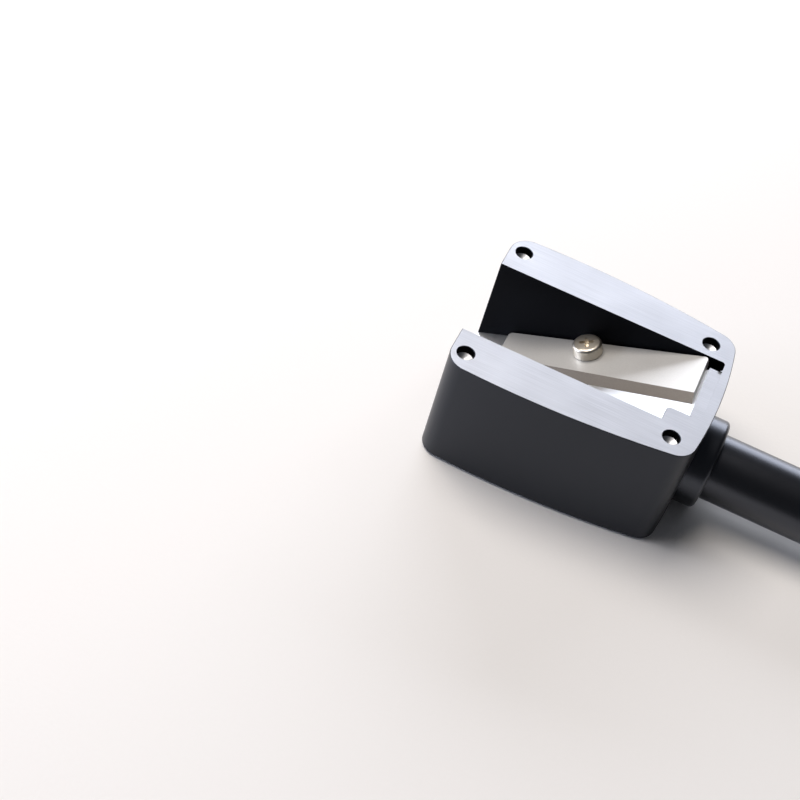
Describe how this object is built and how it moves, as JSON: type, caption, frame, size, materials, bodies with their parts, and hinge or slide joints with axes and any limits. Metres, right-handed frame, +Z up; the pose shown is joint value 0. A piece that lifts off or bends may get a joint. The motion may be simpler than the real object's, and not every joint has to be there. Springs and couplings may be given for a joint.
{
  "type": "pencil sharpener",
  "caption": "Block pencil sharpener with bulged sides, an open sloping blade pocket, a screwed-on blade and a round guide collar, holding a round pencil that turns.",
  "frame": {"origin": "centre of the block's flat underside, below the middle of the four holes in its top face", "axes": "+X along the pencil towards the end it enters by, +Y towards the blade's back edge, +Z up"},
  "size_m": [0.0635, 0.0236, 0.015],
  "materials": {
    "black_anodised_aluminium": "satin black anodised, with the top face and the blade seat milled bright",
    "black_anodised_collar": "satin black anodised, turned",
    "hardened_steel": "fine ground flat, ground bevel",
    "nickel_plated_steel": "nickel plated",
    "black_lacquered_wood": "gloss black lacquer over black-dyed wood",
    "graphite": "matt graphite, cut to a point"
  },
  "bodies": {
    "sharpener": {"housing": "black_anodised_aluminium", "guide_collar": "black_anodised_collar", "blade": "hardened_steel", "blade_screw": "nickel_plated_steel"},
    "pencil": {"pencil_barrel": "black_lacquered_wood", "pencil_lead": "graphite"}
  },
  "joints": [
    {"name": "pencil_turn", "type": "hinge", "parent": "sharpener", "child": "pencil", "pos_m": [0, 0, 0.0054], "axis": [1, 0, 0], "continuous": true}
  ]
}
